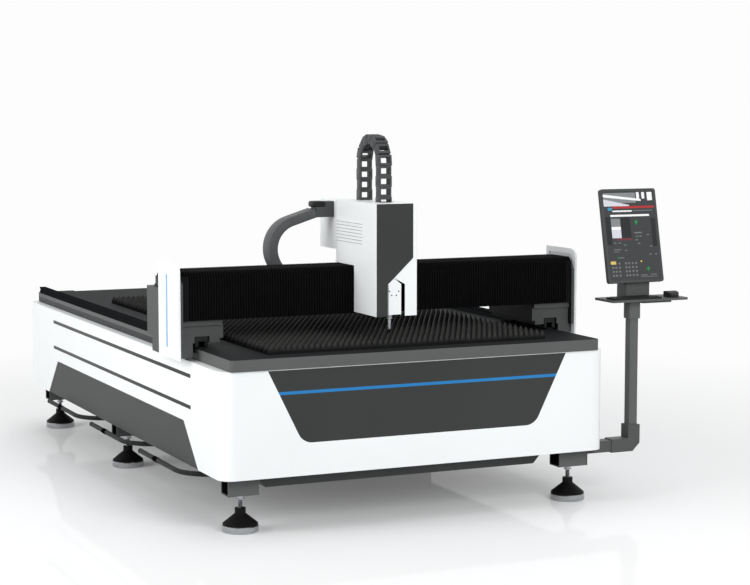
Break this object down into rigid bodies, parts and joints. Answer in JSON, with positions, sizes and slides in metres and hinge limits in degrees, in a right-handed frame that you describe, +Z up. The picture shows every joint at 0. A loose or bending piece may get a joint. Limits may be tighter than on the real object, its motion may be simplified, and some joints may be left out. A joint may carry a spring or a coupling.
{
  "type": "fiber laser cutting machine",
  "caption": "Open gantry fiber laser cutting machine with a slat table, a travelling head behind bellows, slag drawers and a swivelling console.",
  "frame": {"origin": "middle of the machine's footprint, on the floor", "axes": "+X to the operator's right, +Y from the front of the bed to its rear, +Z up"},
  "size_m": [2.6724, 3.634, 1.88],
  "materials": {
    "white_paint": "gloss",
    "panel_grey": "satin",
    "deck_grey": "matte",
    "rim_grey": "satin",
    "frame_grey": "satin",
    "blue_paint": "satin",
    "slat_steel": "dull",
    "bare_steel": "machined",
    "rail_steel": "ground",
    "black_plastic": "matte",
    "grey_plastic": "satin",
    "chain_plastic": "satin",
    "bellows_cloth": "matte"
  },
  "bodies": {
    "bed": {"side_beam_left": "frame_grey", "side_beam_right": "frame_grey", "cross_beams": "frame_grey", "casing_front": "white_paint", "casing_left": "white_paint", "casing_right": "white_paint", "casing_rear": "white_paint", "front_inset_panel": "panel_grey", "front_stripe": "blue_paint", "side_skirts": "panel_grey", "side_trim": "panel_grey", "deck_front": "deck_grey", "deck_left": "deck_grey", "deck_right": "deck_grey", "deck_rear": "rim_grey", "slat_combs": "frame_grey", "slats": "slat_steel", "foot_brackets": "frame_grey", "foot_studs": "bare_steel", "foot_nuts": "bare_steel", "foot_cones": "black_plastic", "foot_discs": "bare_steel", "y_rails": "rail_steel", "y_racks": "rail_steel", "exhaust_spigot": "bare_steel", "console_arm": "rim_grey", "console_elbow": "rim_grey", "console_post": "rim_grey"},
    "gantry": {"gantry_beam": "frame_grey", "carriage_left": "frame_grey", "carriage_right": "frame_grey", "y_bearing_blocks": "rail_steel", "end_cover_left": "white_paint", "end_cover_right": "white_paint", "cover_stripes": "blue_paint", "y_motors": "black_plastic", "x_rails": "rail_steel", "x_chain_tray": "frame_grey", "bellows_left": "bellows_cloth", "bellows_right": "bellows_cloth"},
    "pinion_left": {"y_pinion_left": "bare_steel"},
    "pinion_right": {"y_pinion_right": "bare_steel"},
    "head": {"head_saddle": "frame_grey", "head_cover": "white_paint", "head_front_panel": "panel_grey", "rear_housing": "white_paint", "chain_block": "grey_plastic", "x_cable_chain": "chain_plastic", "z_axis_unit": "bare_steel", "z_cable_chain": "chain_plastic"},
    "cutter": {"z_slide": "bare_steel", "cutting_head": "white_paint", "nozzle": "bare_steel"},
    "console": {"console_collar": "frame_grey", "keyboard_tray": "grey_plastic", "keyboard": "black_plastic", "monitor": "grey_plastic"},
    "drawer_1": {"slag_drawer_1": "frame_grey"},
    "drawer_2": {"slag_drawer_2": "frame_grey"},
    "drawer_3": {"slag_drawer_3": "frame_grey"}
  },
  "joints": [
    {"name": "gantry_y", "type": "slide", "parent": "bed", "child": "gantry", "axis": [0, 1, 0], "range_m": [0, 2.5]},
    {"name": "pinion_left_spin", "type": "hinge", "parent": "gantry", "child": "pinion_left", "pos_m": [-1.25835, -0.973, 0.88], "axis": [0, 0, 1], "range_deg": [-3680, 5]},
    {"name": "pinion_right_spin", "type": "hinge", "parent": "gantry", "child": "pinion_right", "pos_m": [0.80085, -0.973, 0.88], "axis": [0, 0, 1], "range_deg": [-5, 3680]},
    {"name": "head_x", "type": "slide", "parent": "gantry", "child": "head", "axis": [1, 0, 0], "range_m": [-0.685, 0.815], "deforming": ["bellows_left", "bellows_right", "x_cable_chain"]},
    {"name": "cutter_z", "type": "slide", "parent": "head", "child": "cutter", "axis": [0, 0, 1], "range_m": [-0.012, 0.1], "deforming": ["z_cable_chain"]},
    {"name": "console_swivel", "type": "hinge", "parent": "bed", "child": "console", "pos_m": [1.04525, -1.677, 0.96], "axis": [0, 0, 1], "range_deg": [-90, 90]},
    {"name": "drawer_1_slide", "type": "slide", "parent": "bed", "child": "drawer_1", "axis": [-1, 0, 0], "range_m": [0, 0.9]},
    {"name": "drawer_2_slide", "type": "slide", "parent": "bed", "child": "drawer_2", "axis": [-1, 0, 0], "range_m": [0, 0.9]},
    {"name": "drawer_3_slide", "type": "slide", "parent": "bed", "child": "drawer_3", "axis": [-1, 0, 0], "range_m": [0, 0.9]}
  ],
  "couplings": [
    {"joint": "pinion_left_spin", "follows": "gantry_y", "rad_per_m": -25.641},
    {"joint": "pinion_right_spin", "follows": "gantry_y", "rad_per_m": 25.641}
  ]
}
